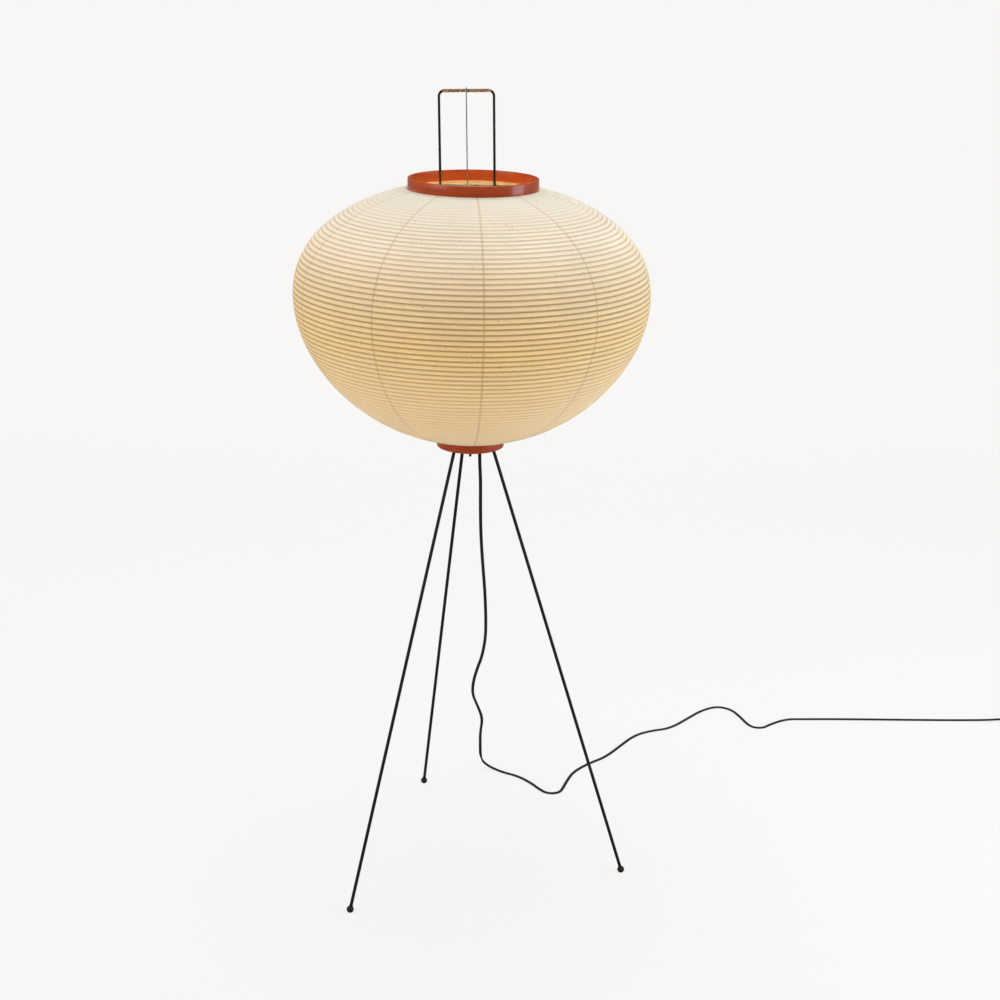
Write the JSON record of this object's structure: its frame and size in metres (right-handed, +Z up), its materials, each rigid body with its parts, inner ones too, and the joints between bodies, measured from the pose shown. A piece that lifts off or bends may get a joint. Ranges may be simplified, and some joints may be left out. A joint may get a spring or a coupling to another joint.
{
  "type": "paper lantern floor lamp",
  "caption": "Floor lamp: squat ribbed paper lantern between lacquered wood hoops on a slender black tripod, with a wire bail above and a black flex.",
  "frame": {"origin": "on the floor, under the vertical axis of the lantern", "axes": "+Z up; -Y towards the viewer of the picture; +X to the viewer's right, where the flex runs off"},
  "size_m": [1.5189, 0.837, 1.2084],
  "materials": {
    "black_steel": "satin black lacquer on steel",
    "foot_rubber": "black rubber ball",
    "cane": "split cane, oiled",
    "lacquered_wood": "bent wood in orange-red lacquer, satin",
    "shade_paper": "long-fibred mulberry paper, translucent",
    "bamboo": "split bamboo",
    "bright_steel": "drawn wire",
    "black_bakelite": "moulded, low gloss",
    "white_ceramic": "unglazed",
    "brass": "plain",
    "cap_metal": "rolled thread",
    "opal_glass": "opal, frosted inside",
    "clear_stem": "clear",
    "light_source": "warm white light sticks",
    "black_rubber": "moulded",
    "cord_black": "flat twin flex, black sleeve",
    "tie_plastic": "soft strap",
    "switch_plastic": "fine spark texture",
    "plug_plastic": "moulded"
  },
  "bodies": {
    "stand": {"base_plate": "black_steel", "leg_socket_front_left": "black_steel", "leg_socket_back": "black_steel", "leg_socket_right": "black_steel", "leg_front_left": "black_steel", "leg_back": "black_steel", "leg_right": "black_steel", "bail": "black_steel", "holder_bolt": "black_steel", "holder_nut": "black_steel", "bail_nuts": "black_steel", "holder_foot": "black_steel", "foot_front_left": "foot_rubber", "foot_back": "foot_rubber", "foot_right": "foot_rubber", "bail_wrap": "cane", "bottom_ring": "lacquered_wood", "paper_shade": "shade_paper", "bamboo_ribs": "bamboo", "terminal_screws": "bright_steel", "switch_screws": "bright_steel", "switch_pin": "bright_steel", "holder_cup": "black_bakelite", "holder_skirt": "black_bakelite", "holder_insulator": "white_ceramic", "centre_contact": "brass", "screw_shell": "brass", "plug_blades": "brass", "bulb_cap": "cap_metal", "bulb_glass": "opal_glass", "bulb_stem": "clear_stem", "bulb_filaments": "light_source", "cord_grommet": "black_rubber", "plug_relief": "black_rubber", "cord_lead": "cord_black", "cord_run": "cord_black", "cord_link": "cord_black", "cord_coil": "cord_black", "cord_tail": "cord_black", "cord_tie": "tie_plastic", "switch_bottom": "switch_plastic", "switch_top": "switch_plastic", "plug_body": "plug_plastic"},
    "top_ring": {"top_ring": "lacquered_wood", "cross_wire": "bright_steel"},
    "hanger": {"hanger_wire": "bright_steel"},
    "rocker": {"switch_rocker": "switch_plastic"}
  },
  "joints": [
    {"name": "shade_collapse", "type": "slide", "parent": "stand", "child": "top_ring", "axis": [0, 0, 1], "range_m": [-0.21, 0], "deforming": ["paper_shade", "bamboo_ribs"]},
    {"name": "hanger_swing", "type": "hinge", "parent": "stand", "child": "hanger", "pos_m": [-0.01134, 0, 1.20367], "axis": [-0.9997, 0, -0.0227], "range_deg": [0, 90]},
    {"name": "switch_rocker", "type": "hinge", "parent": "stand", "child": "rocker", "pos_m": [1.056, 0.535, 0.0104], "axis": [0, 1, 0], "range_deg": [-16, 0]}
  ]
}
